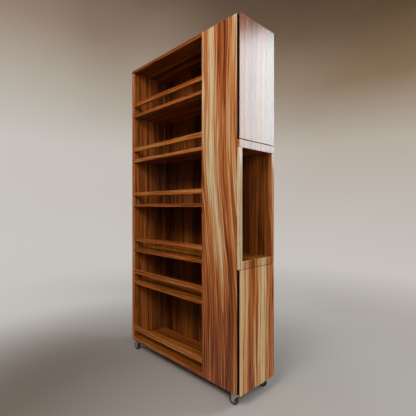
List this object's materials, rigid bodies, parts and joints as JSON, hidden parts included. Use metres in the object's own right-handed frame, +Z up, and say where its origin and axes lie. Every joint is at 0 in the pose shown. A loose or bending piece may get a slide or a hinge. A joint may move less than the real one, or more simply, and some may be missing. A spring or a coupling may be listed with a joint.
{
  "type": "rolling pantry cart",
  "caption": "Tall narrow rolling pantry cart: open shelves with guard rails on one long side, a tower with doors and a niche at one end, swivel casters below.",
  "frame": {"origin": "on the floor, at the centre of the footprint", "axes": "+Z up, +X along the length towards the door end, -Y towards the open long side"},
  "size_m": [1.01, 0.3, 2],
  "materials": {
    "panel_wood": "satin lacquer over striped red-brown and cream wood, grain along the board",
    "shelf_wood": "satin lacquer over orange-brown wood, grain along the board",
    "door_wood": "satin lacquer over striped cream and red-brown wood, grain upright",
    "dowel_wood": "raw beech",
    "plated_steel": "zinc plated, satin",
    "catch_plastic": "moulded brown plastic",
    "hub_plastic": "moulded grey plastic",
    "tyre_rubber": "matt black rubber"
  },
  "bodies": {
    "root": {"left_end_panel": "panel_wood", "partition": "panel_wood", "tower_front_panel": "panel_wood", "tower_rear_panel": "panel_wood", "back_panel": "panel_wood", "top_board": "shelf_wood", "tower_top_board": "shelf_wood", "bottom_board": "shelf_wood", "tower_bottom_board": "shelf_wood", "shelf_1": "shelf_wood", "shelf_2": "shelf_wood", "shelf_3": "shelf_wood", "shelf_4": "shelf_wood", "shelf_5": "shelf_wood", "guard_rail_1": "shelf_wood", "guard_rail_2": "shelf_wood", "guard_rail_3": "shelf_wood", "guard_rail_4": "shelf_wood", "guard_rail_5": "shelf_wood", "guard_rail_6": "shelf_wood", "niche_floor_board": "shelf_wood", "niche_ceiling_board": "shelf_wood", "niche_top_rail": "panel_wood", "niche_bottom_rail": "panel_wood", "niche_near_stile": "panel_wood", "niche_far_stile": "panel_wood", "upper_cupboard_shelf": "shelf_wood", "lower_cupboard_shelf": "shelf_wood", "shelf_pins": "plated_steel", "assembly_dowels": "dowel_wood", "hinge_frame_leaves": "plated_steel", "hinge_pins": "plated_steel", "hinge_frame_screws": "plated_steel", "door_catches": "catch_plastic", "caster_plates": "plated_steel", "caster_screws": "plated_steel"},
    "upper_door": {"upper_door": "door_wood", "upper_door_leaves": "plated_steel", "upper_door_screws": "plated_steel", "upper_strike": "plated_steel"},
    "lower_door": {"lower_door": "door_wood", "lower_door_leaves": "plated_steel", "lower_door_screws": "plated_steel", "lower_strike": "plated_steel"},
    "swivel_front_right": {"fork_front_right": "plated_steel", "axle_front_right": "plated_steel"},
    "wheel_front_right": {"hub_front_right": "hub_plastic", "tyre_front_right": "tyre_rubber"},
    "swivel_rear_right": {"fork_rear_right": "plated_steel", "axle_rear_right": "plated_steel"},
    "wheel_rear_right": {"hub_rear_right": "hub_plastic", "tyre_rear_right": "tyre_rubber"},
    "swivel_front_left": {"fork_front_left": "plated_steel", "axle_front_left": "plated_steel"},
    "wheel_front_left": {"hub_front_left": "hub_plastic", "tyre_front_left": "tyre_rubber"},
    "swivel_rear_left": {"fork_rear_left": "plated_steel", "axle_rear_left": "plated_steel"},
    "wheel_rear_left": {"hub_rear_left": "hub_plastic", "tyre_rear_left": "tyre_rubber"}
  },
  "joints": [
    {"name": "upper_door_hinge", "type": "hinge", "parent": "root", "child": "upper_door", "pos_m": [0.4886, 0.1464, 1.6835], "axis": [0, 0, 1], "range_deg": [0, 110]},
    {"name": "lower_door_hinge", "type": "hinge", "parent": "root", "child": "lower_door", "pos_m": [0.4886, 0.1464, 0.3865], "axis": [0, 0, 1], "range_deg": [0, 110]},
    {"name": "swivel_front_right", "type": "hinge", "parent": "root", "child": "swivel_front_right", "pos_m": [0.462, -0.124, 0.06], "axis": [0, 0, 1], "continuous": true},
    {"name": "wheel_front_right_spin", "type": "hinge", "parent": "swivel_front_right", "child": "wheel_front_right", "pos_m": [0.445, -0.124, 0.025], "axis": [0, 1, 0], "continuous": true},
    {"name": "swivel_rear_right", "type": "hinge", "parent": "root", "child": "swivel_rear_right", "pos_m": [0.462, 0.124, 0.06], "axis": [0, 0, 1], "continuous": true},
    {"name": "wheel_rear_right_spin", "type": "hinge", "parent": "swivel_rear_right", "child": "wheel_rear_right", "pos_m": [0.445, 0.124, 0.025], "axis": [0, 1, 0], "continuous": true},
    {"name": "swivel_front_left", "type": "hinge", "parent": "root", "child": "swivel_front_left", "pos_m": [-0.462, -0.124, 0.06], "axis": [0, 0, 1], "continuous": true},
    {"name": "wheel_front_left_spin", "type": "hinge", "parent": "swivel_front_left", "child": "wheel_front_left", "pos_m": [-0.479, -0.124, 0.025], "axis": [0, 1, 0], "continuous": true},
    {"name": "swivel_rear_left", "type": "hinge", "parent": "root", "child": "swivel_rear_left", "pos_m": [-0.462, 0.124, 0.06], "axis": [0, 0, 1], "continuous": true},
    {"name": "wheel_rear_left_spin", "type": "hinge", "parent": "swivel_rear_left", "child": "wheel_rear_left", "pos_m": [-0.479, 0.124, 0.025], "axis": [0, 1, 0], "continuous": true}
  ]
}
